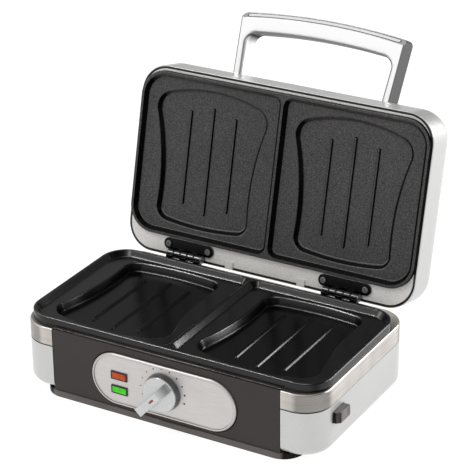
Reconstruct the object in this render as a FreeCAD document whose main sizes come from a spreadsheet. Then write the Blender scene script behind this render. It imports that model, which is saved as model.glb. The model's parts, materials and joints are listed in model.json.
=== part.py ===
import FreeCAD, Part
import math
import os
import Sketcher
from FreeCAD import Placement, Rotation, Vector

# Sandwich maker with a hinged lid, in millimetres and degrees.
# The origin is under the middle of the base, on the surface it stands on.
# +X is the right-hand side, +Y the hinge side, +Z up. The lid is built closed, then turned open.

sizes = {
    # base
    "corner_radius": 26.5,
    "tray_height": 5.5,
    "tray_floor": 2.5,
    "tray_rail_width": 7.0,
    "tray_side_inset": 22.0,
    "tray_rear_inset": 10.0,
    "tray_corner": 20.0,
    "tray_front_proud": 1.5,
    "vent_length": 34.0,
    "vent_width": 3.2,
    "vent_pitch": 9.0,
    "vent_count": 7,
    "vent_offset": 62.0,
    "shell_wall": 2.5,
    "shell_bottom_radius": 8.0,
    "shell_flange": 40.0,
    "shell_opening_corner": 8.0,
    "seam_height": 48.5,
    "band_height": 17.2,
    "band_edge_radius": 1.5,
    "sheet_steel": 1.0,
    "panel_side_inset": 35.5,
    "panel_thickness": 3.0,
    "panel_edge": 0.8,
    "seam_edge": 0.5,
    "overcut": 1.0,
    "fit_gap": 0.3,
    # screws
    "screw_shank": 3.0,
    "screw_head": 6.0,
    "screw_head_height": 1.8,
    "screw_length": 8.0,
    "screw_fit": 0.05,
    "drive_length": 3.4,
    "drive_width": 0.8,
    "drive_depth": 0.9,
    "screw_boss": 9.0,
    "screw_boss_height": 7.0,
    "tray_screw_inset": 34.0,
    # control plate and lamps
    "control_length": 145.0,
    "control_width": 50.0,
    "control_height": 34.0,
    "control_proud": 1.8,
    "control_rim": 2.2,
    "control_rim_height": 0.8,
    "control_bevel": 0.9,
    "control_sink": 1.2,
    "control_gap": 1.1,
    "lamp_inset": 28.3,
    "lamp_upper": 37.8,
    "lamp_lower": 24.0,
    "lamp_length": 14.0,
    "lamp_width": 5.4,
    "lamp_proud": 1.6,
    "bezel_width": 1.2,
    "bezel_proud": 1.0,
    "bezel_depth": 3.0,
    "lamp_depth": 24.0,
    # knob and regulator
    "knob_diameter": 35.0,
    "knob_height": 18.0,
    "knob_skirt": 5.5,
    "knob_skirt_taper": 14.0,
    "knob_bar_width": 8.5,
    "knob_bar_reach": 21.5,
    "knob_bar_tail": 8.4,
    "knob_tail_radius": 13.0,
    "knob_bar_rake": 1.0,
    "knob_recess": 24.0,
    "knob_recess_depth": 3.5,
    "knob_gap": 0.5,
    "knob_angle": 227.0,
    "mark_length": 6.0,
    "mark_width": 2.0,
    "mark_depth": 0.8,
    "shaft_diameter": 6.0,
    "shaft_fit": 0.05,
    "shaft_in_knob": 10.0,
    "bush_diameter": 10.0,
    "nut_across_flats": 14.0,
    "nut_thickness": 2.4,
    "regulator_width": 34.0,
    "regulator_height": 24.0,
    "regulator_depth": 22.0,
    # plates
    "plate_width": 297.0,
    "plate_depth": 155.0,
    "plate_front_inset": 4.7,
    "plate_rear_inset": 15.8,
    "plate_side_inset": 1.5,
    "parting_height": 73.7,
    "parting_gap": 0.4,
    "rim_top_width": 3.0,
    "rim_edge_radius": 1.0,
    "divider_width": 2.4,
    "lower_land_depth": 5.0,
    "upper_land_depth": 4.2,
    "land_corner": 9.0,
    "land_draft": 38.0,
    "plate_thickness": 3.0,
    "plate_body_inset": 4.0,
    "plate_body_fit": 0.5,
    "recess_shift": 0.95,
    "recess_margin": 15.75,
    "recess_edge": 1.2,
    "recess_floor_edge": 1.6,
    "lower_recess_depth": 7.5,
    "upper_recess_depth": 4.0,
    "recess_slope": 3.2,
    "crown_inset": 12.5,
    "crown_front": 15.6,
    "crown_rise": 7.0,
    "shoulder_back": 42.0,
    "shoulder_radius": 17.0,
    "waist_inset": 9.5,
    "waist_to_rear": 28.7,
    "side_radius": 240.0,
    "heel_inset": 11.0,
    "heel_to_rear": 13.9,
    "heel_radius": 13.0,
    "heel_rise": 2.7,
    "rib_pitch": 23.7,
    "rib_width": 3.4,
    "rib_height": 1.6,
    "rib_draft": 28.0,
    "side_rib_front": 38.0,
    "side_rib_to_rear": 31.7,
    "middle_rib_front": 32.0,
    "middle_rib_to_rear": 24.7,
    # heaters
    "heater_diameter": 6.5,
    "heater_inset": 34.0,
    "heater_bend": 22.0,
    "heater_tail_gap": 24.0,
    "heater_gap": 0.3,
    "reflector_lip": 3.0,
    # lid
    "lid_rim_height": 77.7,
    "lid_thickness": 46.3,
    "lid_top_radius": 20.0,
    "lid_rear_overhang": 2.9,
    "lid_rim_edge": 0.8,
    "pan_tab_offset": 37.8,
    "pan_tab_width": 8.0,
    "pan_tab_length": 7.0,
    "open_angle": 103.6,
    # handle
    "handle_width": 169.8,
    "handle_foot_width": 160.0,
    "handle_leg": 9.6,
    "handle_reach": 55.0,
    "handle_bar": 19.0,
    "handle_bulge": 5.5,
    "handle_height": 21.0,
    "handle_lift": 1.75,
    "handle_rise": 11.5,
    "handle_corner": 5.0,
    "handle_inner_corner": 10.0,
    "handle_edge": 1.5,
    "handle_inner_edge": 5.0,
    "handle_bevel": 5.5,
    "handle_foot_back": 32.0,
    "handle_foot_round": 12.0,
    "handle_screw_back": 25.0,
    "trim_end_inset": 5.4,
    "trim_width": 4.4,
    "trim_depth": 1.2,
    "trim_gap": 0.45,
    # hinges
    "hinge_side_inset": 68.0,
    "hinge_width": 36.0,
    "hinge_height": 70.8,
    "hinge_inset": 1.65,
    "knuckle_radius": 4.0,
    "knuckle_gap": 0.4,
    "knuckle_edge": 0.7,
    "pin_radius": 1.5,
    "pin_fit": 0.05,
    "pin_head": 0.8,
    "leaf_thickness": 1.5,
    "ear_spacing": 42.4,
    "ear_width": 11.0,
    "ear_setback": 7.6,
    "leaf_setback": 1.1,
    # release buttons
    "button_setback": 0.5,
    "button_length": 20.5,
    "button_height": 10.5,
    "button_centre_height": 35.8,
    "button_proud": 6.5,
    "button_slant": 3.5,
    "button_edge": 1.4,
    "button_flange": 1.5,
    "button_flange_thickness": 2.0,
    "button_travel": 3.5,
    "button_guide_wall": 1.4,
    # mains inlet
    "gland_inset": 54.0,
    "gland_height": 26.0,
    "gland_flange": 19.0,
    "gland_body": 13.0,
    "gland_bore": 7.5,
    "gland_flange_thickness": 2.4,
    "gland_length": 12.0,
    "terminal_length": 36.0,
    "terminal_depth": 20.0,
    "terminal_height": 17.0,
    "terminal_well": 5.0,
}

doc = FreeCAD.newDocument("sandwich_maker")
sheet = doc.addObject("Spreadsheet::Sheet", "Sizes")
for row, (alias, value) in enumerate(sizes.items(), start=1):
    sheet.set("A%d" % row, alias)
    sheet.set("B%d" % row, "%g" % value)
    sheet.setAlias("B%d" % row, alias)
doc.recompute()


class Size:
    # A length as a number, with the formula on the sheet that gives it.
    def __init__(self, number, formula=None):
        self.number = float(number)
        self.formula = formula or "%.9g" % number

    def __add__(self, other):
        other = sized(other)
        return Size(self.number + other.number, "(%s + %s)" % (self.formula, other.formula))

    def __sub__(self, other):
        other = sized(other)
        return Size(self.number - other.number, "(%s - %s)" % (self.formula, other.formula))

    def __mul__(self, factor):
        return Size(self.number * factor, "(%s * %.9g)" % (self.formula, factor))

    def __truediv__(self, divisor):
        return Size(self.number / divisor, "(%s / %.9g)" % (self.formula, divisor))

    def __neg__(self):
        return Size(-self.number, "(-1 * %s)" % self.formula)

    __radd__ = __add__
    __rmul__ = __mul__


def sized(value):
    return value if isinstance(value, Size) else Size(value)


class SheetSizes:
    def __getattr__(self, alias):
        return Size(sheet.get(alias), "Sizes.%s" % alias)


s = SheetSizes()
parts = []


def bind(target, path, value):
    target.setExpression(path, sized(value).formula)


def new_body(label):
    body = doc.addObject("PartDesign::Body", label)
    body.AllowCompound = True
    return body


def sub_part(target, placement=None):
    # marks an object as one of the finished pieces
    if placement is not None:
        target.Placement = placement
    parts.append(target)
    return target


# Sketches

def sketch_on(body, plane, level=0.0):
    # level is the height of an XY sketch, the Y of an XZ sketch or the X of a YZ sketch
    sketch = body.newObject("Sketcher::SketchObject", "%s_sketch" % body.Name)
    for feature in body.Origin.OriginFeatures:
        if feature.Role == plane + "_Plane":
            sketch.AttachmentSupport = [(feature, "")]
    sketch.MapMode = "FlatFace"
    bind(sketch, "AttachmentOffset.Base.z", -sized(level) if plane == "XZ" else level)
    return sketch


def dimension(sketch, kind, refs, value):
    value = sized(value)
    index = sketch.addConstraint(Sketcher.Constraint(kind, *refs, value.number))
    sketch.setExpression("Constraints[%d]" % index, value.formula)


def locate(sketch, geometry, point, x, y):
    dimension(sketch, "DistanceX", (geometry, point), x)
    dimension(sketch, "DistanceY", (geometry, point), y)


def vector(x, y):
    return Vector(sized(x).number, sized(y).number, 0)


def polygon(sketch, corners):
    first = sketch.GeometryCount
    count = len(corners)
    for i in range(count):
        sketch.addGeometry(Part.LineSegment(vector(*corners[i]), vector(*corners[(i + 1) % count])))
    for i in range(count):
        sketch.addConstraint(Sketcher.Constraint("Coincident", first + i, 2, first + (i + 1) % count, 1))
        locate(sketch, first + i, 1, *corners[i])


def rectangle(sketch, width, height, x=0.0, y=0.0):
    x, y = sized(x), sized(y)
    w, h = sized(width) / 2, sized(height) / 2
    polygon(sketch, [(x - w, y - h), (x + w, y - h), (x + w, y + h), (x - w, y + h)])


def circle(sketch, diameter, x=0.0, y=0.0):
    index = sketch.addGeometry(Part.Circle(vector(x, y), Vector(0, 0, 1), sized(diameter).number / 2))
    locate(sketch, index, 3, x, y)
    dimension(sketch, "Diameter", (index,), diameter)


def joined_arcs(sketch, centres, radii, turns):
    # arcs counterclockwise about their centres, each turning from one quarter to another,
    # joined by tangent lines
    first = sketch.GeometryCount
    count = len(centres)
    ends = []
    for centre, radius, (start, stop) in zip(centres, radii, turns):
        ring = Part.Circle(vector(*centre), Vector(0, 0, 1), radius.number)
        arc = Part.ArcOfCircle(ring, math.radians(start), math.radians(stop))
        ends.append((arc.StartPoint, arc.EndPoint))
        sketch.addGeometry(arc)
    for i in range(count):
        sketch.addGeometry(Part.LineSegment(ends[i][1], ends[(i + 1) % count][0]))
    for i in range(count):
        arc, line, next_arc = first + i, first + count + i, first + (i + 1) % count
        locate(sketch, arc, 3, *centres[i])
        dimension(sketch, "Radius", (arc,), radii[i])
        sketch.addConstraint(Sketcher.Constraint("Tangent", arc, 2, line, 1))
        sketch.addConstraint(Sketcher.Constraint("Tangent", line, 2, next_arc, 1))


def rounded_rectangle(sketch, width, height, radius, x=0.0, y=0.0):
    # radius is one size, or the left pair's and the right pair's
    x, y = sized(x), sized(y)
    w, h = sized(width) / 2, sized(height) / 2
    left, right = radius if isinstance(radius, tuple) else (radius, radius)
    centres = [
        (x - w + left, y - h + left),
        (x + w - right, y - h + right),
        (x + w - right, y + h - right),
        (x - w + left, y + h - left),
    ]
    turns = [(180, 270), (270, 360), (0, 90), (90, 180)]
    joined_arcs(sketch, centres, [left, right, right, left], turns)


def stadium(sketch, length, width, x=0.0, y=0.0, upright=False):
    x, y = sized(x), sized(y)
    radius = sized(width) / 2
    reach = (sized(length) - width) / 2
    if upright:
        centres = [(x, y - reach), (x, y + reach)]
        turns = [(180, 360), (0, 180)]
    else:
        centres = [(x - reach, y), (x + reach, y)]
        turns = [(90, 270), (-90, 90)]
    joined_arcs(sketch, centres, [radius, radius], turns)


def arc_chain(sketch, corners, radii):
    # a closed outline of arcs and lines, counterclockwise: radius 0 is a line,
    # a negative radius bends inwards
    first = sketch.GeometryCount
    count = len(corners)
    for i in range(count):
        a, b = vector(*corners[i]), vector(*corners[(i + 1) % count])
        radius = sized(radii[i]).number
        if radius == 0:
            sketch.addGeometry(Part.LineSegment(a, b))
            continue
        chord = b - a
        inward = Vector(-chord.y, chord.x, 0).normalize()
        sagitta = abs(radius) - math.sqrt(radius ** 2 - (chord.Length / 2) ** 2)
        middle = (a + b) / 2 - inward * math.copysign(sagitta, radius)
        sketch.addGeometry(Part.Arc(a, middle, b))
    for i in range(count):
        radius = sized(radii[i])
        # an arc that bends inwards is stored the other way round
        start, end = (2, 1) if radius.number < 0 else (1, 2)
        following = 2 if sized(radii[(i + 1) % count]).number < 0 else 1
        sketch.addConstraint(
            Sketcher.Constraint("Coincident", first + i, end, first + (i + 1) % count, following))
        locate(sketch, first + i, start, *corners[i])
        if radius.number != 0:
            dimension(sketch, "Radius", (first + i,), radius if radius.number > 0 else -radius)


# Features

def pad(body, sketch, length, reverse=False, both=False, draft=0.0):
    feature = body.newObject("PartDesign::Pad", "%s_pad" % body.Name)
    feature.Profile = sketch
    feature.Reversed = reverse
    feature.Midplane = both
    bind(feature, "Length", length)
    bind(feature, "TaperAngle", draft)
    doc.recompute()
    return feature


def pocket(body, sketch, depth, reverse=False, both=False, draft=0.0):
    before = body.Tip.Shape.Volume
    feature = body.newObject("PartDesign::Pocket", "%s_pocket" % body.Name)
    feature.Profile = sketch
    feature.Reversed = reverse
    feature.Midplane = both
    bind(feature, "Length", depth)
    bind(feature, "TaperAngle", draft)
    doc.recompute()
    if feature.Shape.Volume > before - 1e-3:
        raise RuntimeError("%s cuts nothing" % feature.Name)
    return feature


def loft_cut(body, mouth, base):
    before = body.Tip.Shape.Volume
    feature = body.newObject("PartDesign::SubtractiveLoft", "%s_loft" % body.Name)
    feature.Profile = mouth
    feature.Sections = [base]
    feature.Ruled = True
    doc.recompute()
    if feature.Shape.Volume > before - 1e-3:
        raise RuntimeError("%s cuts nothing" % feature.Name)
    return feature


def edge_names(shape, test):
    return ["Edge%d" % (i + 1) for i, edge in enumerate(shape.Edges) if test(edge)]


def in_plane(axis, level):
    # edges that lie in the plane axis = level
    spot = sized(level).number

    def test(edge):
        box = edge.BoundBox
        low, high = getattr(box, axis + "Min"), getattr(box, axis + "Max")
        return abs(low - spot) < 1e-3 and abs(high - spot) < 1e-3
    return test


def soften(body, test, amount, kind="Fillet"):
    base = body.Tip
    names = edge_names(base.Shape, test)
    if not names:
        raise RuntimeError("%s has no such edge" % body.Name)
    feature = body.newObject("PartDesign::" + kind, "%s_%s" % (body.Name, kind))
    feature.Base = (base, names)
    bind(feature, "Radius" if kind == "Fillet" else "Size", amount)
    doc.recompute()
    return feature


def cut(label, base, tool):
    feature = doc.addObject("Part::Cut", label)
    feature.Base = base
    feature.Tool = tool
    doc.recompute()
    return feature


# Places that several pieces share
base_width = s.plate_width + 2 * s.plate_side_inset
base_depth = s.plate_front_inset + s.plate_depth + s.plate_rear_inset
plate_corner = s.corner_radius - s.plate_side_inset
panel_width = base_width - 2 * s.panel_side_inset
hinge_spacing = base_width - 2 * s.hinge_side_inset
front = -base_depth / 2
rear = base_depth / 2
side = base_width / 2
gland_x = side - s.gland_inset
band_top = s.seam_height + s.band_height
flange_under = band_top - s.sheet_steel
hinge_y = rear - s.hinge_inset
ear_y = hinge_y - s.ear_setback
plate_y = front + s.plate_front_inset + s.plate_depth / 2
plate_rear = front + s.plate_front_inset + s.plate_depth
leaf_front = plate_rear + s.leaf_setback
plate_body_width = s.plate_width - 2 * s.plate_body_inset
plate_body_depth = s.plate_depth - 2 * s.plate_body_inset
plate_body_corner = plate_corner - s.plate_body_inset
upper_parting = s.parting_height + s.parting_gap
lid_depth = base_depth + s.lid_rear_overhang
lid_y = s.lid_rear_overhang / 2
lid_top = s.lid_rim_height + s.lid_thickness
plate_under = s.plate_thickness + s.heater_gap + s.heater_diameter / 2
lower_heater = s.parting_height - s.lower_land_depth - s.lower_recess_depth - plate_under
upper_heater = upper_parting + s.upper_land_depth + s.upper_recess_depth + plate_under
bowl_floor = upper_heater + s.heater_diameter / 2

hinge_axis = Vector(0, hinge_y.number, s.hinge_height.number)
lid_open = Placement(Vector(), Rotation(Vector(1, 0, 0), -s.open_angle.number), hinge_axis)


# Fasteners

def screw_set(label, spots, head_level, point_up, placement=None):
    # pan-head screws that stand along Z; head_level is the face that the heads bear on
    body = new_body(label)
    heads = sketch_on(body, "XY", head_level)
    shanks = sketch_on(body, "XY", head_level)
    for x, y in spots:
        circle(heads, s.screw_head, x, y)
        circle(shanks, s.screw_shank, x, y)
    pad(body, heads, s.screw_head_height, reverse=point_up)
    rim = sized(head_level) - s.screw_head_height if point_up else sized(head_level) + s.screw_head_height
    soften(body, in_plane("Z", rim), s.screw_head_height / 3)
    pad(body, shanks, s.screw_length, reverse=not point_up)
    for wide, tall in ((s.drive_length, s.drive_width), (s.drive_width, s.drive_length)):
        drive = sketch_on(body, "XY", rim)
        for x, y in spots:
            rectangle(drive, wide, tall, x, y)
        pocket(body, drive, s.drive_depth, reverse=point_up)
    return sub_part(body, placement)


def screw_holes(body, spots, level, depth, reverse=False):
    holes = sketch_on(body, "XY", level)
    for x, y in spots:
        circle(holes, s.screw_shank + 2 * s.screw_fit, x, y)
    return pocket(body, holes, depth, reverse=reverse)


tray_screw_x = side - s.tray_screw_inset
tray_screw_y = rear - s.tray_screw_inset
tray_screws = [
    (x, y)
    for x in (-tray_screw_x, tray_screw_x)
    for y in (-tray_screw_y, tray_screw_y)
]


# Bottom tray: a floor on a standing rail, with vents

def make_bottom_tray():
    body = new_body("bottom_tray")
    width = base_width - 2 * s.tray_side_inset
    depth = base_depth + s.tray_front_proud - s.tray_rear_inset
    middle = -(s.tray_front_proud + s.tray_rear_inset) / 2
    corner = s.tray_corner
    outline = sketch_on(body, "XY")
    rounded_rectangle(outline, width, depth, corner, 0, middle)
    pad(body, outline, s.tray_height)
    soften(body, in_plane("Z", s.tray_height), s.tray_floor / 2)
    hollow = sketch_on(body, "XY")
    rail = s.tray_rail_width
    rounded_rectangle(hollow, width - 2 * rail, depth - 2 * rail, corner - rail, 0, middle)
    pocket(body, hollow, s.tray_height - s.tray_floor, reverse=True)
    vents = sketch_on(body, "XY", s.tray_height + s.overcut)
    count = int(s.vent_count.number)
    for bank in (-s.vent_offset, s.vent_offset):
        for i in range(count):
            stadium(vents, s.vent_length, s.vent_width, bank, s.vent_pitch * (i - (count - 1) / 2))
    pocket(body, vents, s.tray_floor + 2 * s.overcut)
    screw_holes(body, tray_screws, s.tray_height + s.overcut, s.tray_floor + 2 * s.overcut)
    return sub_part(body)


# Base shell: silver housing, open at the top, the bottom and the front

def make_base_shell():
    body = new_body("base_shell")
    bottom = s.tray_height
    outline = sketch_on(body, "XY", bottom)
    rounded_rectangle(outline, base_width, base_depth, s.corner_radius)
    pad(body, outline, s.seam_height - bottom)
    soften(body, in_plane("Z", bottom), s.shell_bottom_radius)
    soften(body, in_plane("Z", s.seam_height), s.seam_edge, "Chamfer")
    inside = sketch_on(body, "XY", s.seam_height)
    wall = s.shell_wall
    rounded_rectangle(inside, base_width - 2 * wall, base_depth - 2 * wall, s.corner_radius - wall)
    pocket(body, inside, s.seam_height - bottom - 2 * wall)
    opening = sketch_on(body, "XY", s.seam_height)
    edge = s.shell_flange
    rounded_rectangle(opening, base_width - 2 * edge, base_depth - 2 * edge, s.shell_opening_corner)
    pocket(body, opening, s.seam_height)
    bosses = sketch_on(body, "XY", bottom)
    for x, y in tray_screws:
        circle(bosses, s.screw_boss, x, y)
    pad(body, bosses, s.screw_boss_height + 2 * wall)
    screw_holes(body, tray_screws, bottom, s.screw_length, reverse=True)
    notch = sketch_on(body, "XZ", front - s.overcut)
    rectangle(notch, panel_width, 2 * s.seam_height, 0, s.seam_height)
    pocket(body, notch, s.panel_thickness + s.fit_gap + s.overcut)
    button = sketch_on(body, "YZ", side + s.overcut)
    gap = 2 * s.fit_gap
    rectangle(button, s.button_length + gap, s.button_height + gap, button_y, s.button_centre_height)
    pocket(body, button, wall + 2 * s.overcut)
    inlet = sketch_on(body, "XZ", rear - wall - s.overcut)
    circle(inlet, s.gland_body + 2 * s.screw_fit, gland_x, s.gland_height)
    pocket(body, inlet, wall + 2 * s.overcut)
    return sub_part(body)


# Top frame: stainless band with a turned-in flange that the plate lies on

def make_top_frame():
    body = new_body("top_frame")
    sheet_gauge = s.sheet_steel
    outline = sketch_on(body, "XY", s.seam_height)
    rounded_rectangle(outline, base_width, base_depth, s.corner_radius)
    pad(body, outline, s.band_height)
    soften(body, in_plane("Z", band_top), s.band_edge_radius)
    soften(body, in_plane("Z", s.seam_height), s.seam_edge, "Chamfer")
    inside = sketch_on(body, "XY", s.seam_height)
    width, depth = base_width - 2 * sheet_gauge, base_depth - 2 * sheet_gauge
    rounded_rectangle(inside, width, depth, s.corner_radius - sheet_gauge)
    pocket(body, inside, s.band_height - sheet_gauge, reverse=True)
    opening = sketch_on(body, "XY", band_top + s.overcut)
    fit = s.plate_body_fit
    width, depth = plate_body_width + 2 * fit, plate_body_depth + 2 * fit
    rounded_rectangle(opening, width, depth, plate_body_corner + fit, 0, plate_y)
    pocket(body, opening, sheet_gauge + 2 * s.overcut)
    notch = sketch_on(body, "XZ", front - s.overcut)
    rectangle(notch, panel_width, 2 * s.band_height, 0, band_top)
    pocket(body, notch, s.panel_thickness + s.fit_gap + s.overcut)
    screw_holes(body, base_leaf_screws, band_top + s.overcut, sheet_gauge + 2 * s.overcut)
    return sub_part(body)


# Front panel, control plate and lamps

lamp_x = s.lamp_inset - s.control_length / 2
lamps = [(lamp_x, s.lamp_upper), (lamp_x, s.lamp_lower)]
bezel_length = s.lamp_length + 2 * s.bezel_width
bezel_height = s.lamp_width + 2 * s.bezel_width
control_face = front - s.control_proud + s.control_rim_height


def front_openings(body, level, depth):
    # the lamp windows and the bush hole, cut from the front
    holes = sketch_on(body, "XZ", level)
    for x, z in lamps:
        rectangle(holes, bezel_length, bezel_height, x, z)
    circle(holes, s.bush_diameter + 2 * s.screw_fit, 0, s.control_height)
    pocket(body, holes, depth)


def make_front_panel():
    body = new_body("front_panel")
    outline = sketch_on(body, "XZ", front)
    height = band_top - s.tray_height
    rectangle(outline, panel_width - 2 * s.fit_gap, height, 0, s.tray_height + height / 2)
    pad(body, outline, s.panel_thickness, reverse=True)
    face_edges = in_plane("Y", front)
    low_edge = in_plane("Z", s.tray_height)
    soften(body, lambda edge: face_edges(edge) and not low_edge(edge), s.panel_edge)
    seat = sketch_on(body, "XZ", front - s.overcut)
    gap = 2 * s.control_gap
    stadium(seat, s.control_length + gap, s.control_width + gap, 0, s.control_height)
    pocket(body, seat, s.overcut + s.control_sink)
    front_openings(body, front - s.overcut, s.panel_thickness + 2 * s.overcut)
    return sub_part(body)


def make_control_plate():
    body = new_body("control_plate")
    outline = sketch_on(body, "XZ", front + s.control_sink)
    stadium(outline, s.control_length, s.control_width, 0, s.control_height)
    thick = s.control_proud + s.control_sink
    pad(body, outline, thick)
    soften(body, in_plane("Y", front - s.control_proud), s.control_bevel, "Chamfer")
    face = sketch_on(body, "XZ", front - s.control_proud)
    rim = 2 * s.control_rim
    stadium(face, s.control_length - rim, s.control_width - rim, 0, s.control_height)
    pocket(body, face, s.control_rim_height)
    front_openings(body, front - s.control_proud - s.overcut, thick + 2 * s.overcut)
    return sub_part(body)


def make_lamps():
    bezels = new_body("lamp_bezels")
    frame = sketch_on(bezels, "XZ", control_face - s.bezel_proud)
    for x, z in lamps:
        rectangle(frame, bezel_length, bezel_height, x, z)
        rectangle(frame, s.lamp_length, s.lamp_width, x, z)
    pad(bezels, frame, s.bezel_depth, reverse=True)
    sub_part(bezels)
    for label, (x, z) in zip(("power_lamp_lens", "ready_lamp_lens"), lamps):
        lens = new_body(label)
        window = sketch_on(lens, "XZ", control_face - s.lamp_proud)
        rectangle(window, s.lamp_length, s.lamp_width, x, z)
        pad(lens, window, s.bezel_depth + s.lamp_proud - s.bezel_proud, reverse=True)
        soften(lens, in_plane("Y", control_face - s.lamp_proud), s.lamp_width / 6)
        sub_part(lens)
    holders = new_body("lamp_holders")
    back = control_face - s.bezel_proud + s.bezel_depth
    case = sketch_on(holders, "XZ", back)
    for x, z in lamps:
        rectangle(case, s.lamp_length, s.lamp_width, x, z)
    pad(holders, case, s.lamp_depth, reverse=True)
    sub_part(holders)


# Regulator, its shaft and the knob

regulator_front = front + s.panel_thickness
nut_front = control_face - s.nut_thickness
knob_back = front - s.control_proud - s.knob_gap


def make_regulator():
    body = new_body("thermostat_body")
    case = sketch_on(body, "XZ", regulator_front)
    rounded_rectangle(
        case, s.regulator_width, s.regulator_height, s.regulator_height / 6, 0, s.control_height)
    pad(body, case, s.regulator_depth, reverse=True)
    bush = sketch_on(body, "XZ", regulator_front)
    circle(bush, s.bush_diameter, 0, s.control_height)
    pad(body, bush, regulator_front - nut_front)
    bore = sketch_on(body, "XZ", nut_front - s.overcut)
    circle(bore, s.shaft_diameter + 2 * s.shaft_fit, 0, s.control_height)
    pocket(body, bore, regulator_front - nut_front + s.regulator_depth / 2 + s.overcut)
    sub_part(body)

    nut = new_body("thermostat_nut")
    outline = sketch_on(nut, "XZ", nut_front)
    reach = s.nut_across_flats / math.sqrt(3)
    corners = []
    for i in range(6):
        turn = math.radians(60 * i)
        corners.append((reach * math.cos(turn), s.control_height + reach * math.sin(turn)))
    polygon(outline, corners)
    circle(outline, s.bush_diameter + 2 * s.screw_fit, 0, s.control_height)
    pad(nut, outline, s.nut_thickness, reverse=True)
    sub_part(nut)

    shaft = new_body("thermostat_shaft")
    end = sketch_on(shaft, "XZ", knob_back - s.shaft_in_knob)
    circle(end, s.shaft_diameter, 0, s.control_height)
    pad(shaft, end, regulator_front + s.regulator_depth / 3 - knob_back + s.shaft_in_knob, reverse=True)
    sub_part(shaft)


def make_knob():
    # built with its axis along Z and its pointer along +X, then turned to face the front
    pointer = Rotation(Vector(0, 1, 0), -s.knob_angle.number)
    facing = Rotation(Vector(1, 0, 0), 90)
    seat = Vector(0, knob_back.number, s.control_height.number)
    on_panel = Placement(seat, pointer * facing)

    knob = new_body("temperature_knob")
    skirt = sketch_on(knob, "XY")
    circle(skirt, s.knob_diameter)
    pad(knob, skirt, s.knob_skirt, draft=-s.knob_skirt_taper)
    soften(knob, in_plane("Z", s.knob_skirt), s.knob_skirt / 4)
    bar = sketch_on(knob, "XZ")
    tail = s.knob_diameter / 2 - s.knob_skirt / 2
    low = s.knob_skirt / 2
    corners = [
        (-tail, low),
        (tail, low),
        (s.knob_bar_reach - s.knob_bar_rake, s.knob_height - s.knob_skirt),
        (s.knob_bar_reach, s.knob_height),
        (-s.knob_bar_tail, s.knob_height),
        (-tail, s.knob_skirt),
    ]
    arc_chain(bar, corners, [0, 0, 0, 0, s.knob_tail_radius, 0])
    pad(knob, bar, s.knob_bar_width, both=True)
    soften(knob, in_plane("Z", s.knob_height), s.knob_bar_width / 7)
    hollow = sketch_on(knob, "XY")
    circle(hollow, s.knob_recess)
    pocket(knob, hollow, s.knob_recess_depth, reverse=True)
    bore = sketch_on(knob, "XY")
    circle(bore, s.shaft_diameter)
    pocket(knob, bore, s.shaft_in_knob, reverse=True)
    inlay = sketch_on(knob, "XY", s.knob_height)
    stadium(inlay, s.mark_length, s.mark_width)
    pocket(knob, inlay, s.mark_depth)
    sub_part(knob, on_panel)

    mark = new_body("knob_mark")
    face = sketch_on(mark, "XY", s.knob_height)
    stadium(face, s.mark_length, s.mark_width)
    pad(mark, face, s.mark_depth, reverse=True)
    sub_part(mark, on_panel)


# Plates: rim, divider, two drafted lands, two toast-shaped recesses and their ribs

def toast_outline(sketch, x, grow):
    # crown to the front; grow moves the whole outline outwards
    shoulder_reach = s.plate_width / 4 - s.recess_margin
    waist_reach = shoulder_reach - s.waist_inset
    half_crown = shoulder_reach - s.crown_inset
    half_shoulder = shoulder_reach + grow
    half_waist = waist_reach + grow
    half_heel = waist_reach - s.heel_inset
    crown_corner = front + s.crown_front + s.crown_rise - grow
    shoulder = front + s.shoulder_back
    waist = plate_rear - s.waist_to_rear
    heel = plate_rear - s.heel_to_rear + grow
    # radius of an arc over a chord with a given rise
    crown_radius = arc_radius(half_crown, s.crown_rise)
    heel_radius = arc_radius(half_heel, s.heel_rise)
    corners = [
        (x - half_crown, crown_corner),
        (x + half_crown, crown_corner),
        (x + half_shoulder, shoulder),
        (x + half_waist, waist),
        (x + half_heel, heel),
        (x - half_heel, heel),
        (x - half_waist, waist),
        (x - half_shoulder, shoulder),
    ]
    radii = [
        crown_radius,
        s.shoulder_radius + grow,
        -s.side_radius,
        s.heel_radius + grow,
        heel_radius,
        s.heel_radius + grow,
        -s.side_radius,
        s.shoulder_radius + grow,
    ]
    arc_chain(sketch, corners, radii)


def arc_radius(half_chord, rise):
    number = (half_chord.number ** 2 + rise.number ** 2) / (2 * rise.number)
    formula = "((%s ^ 2 + %s ^ 2) / (2 * %s))" % (half_chord.formula, rise.formula, rise.formula)
    return Size(number, formula)


recess_offset = s.plate_width / 4 - s.recess_shift


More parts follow.
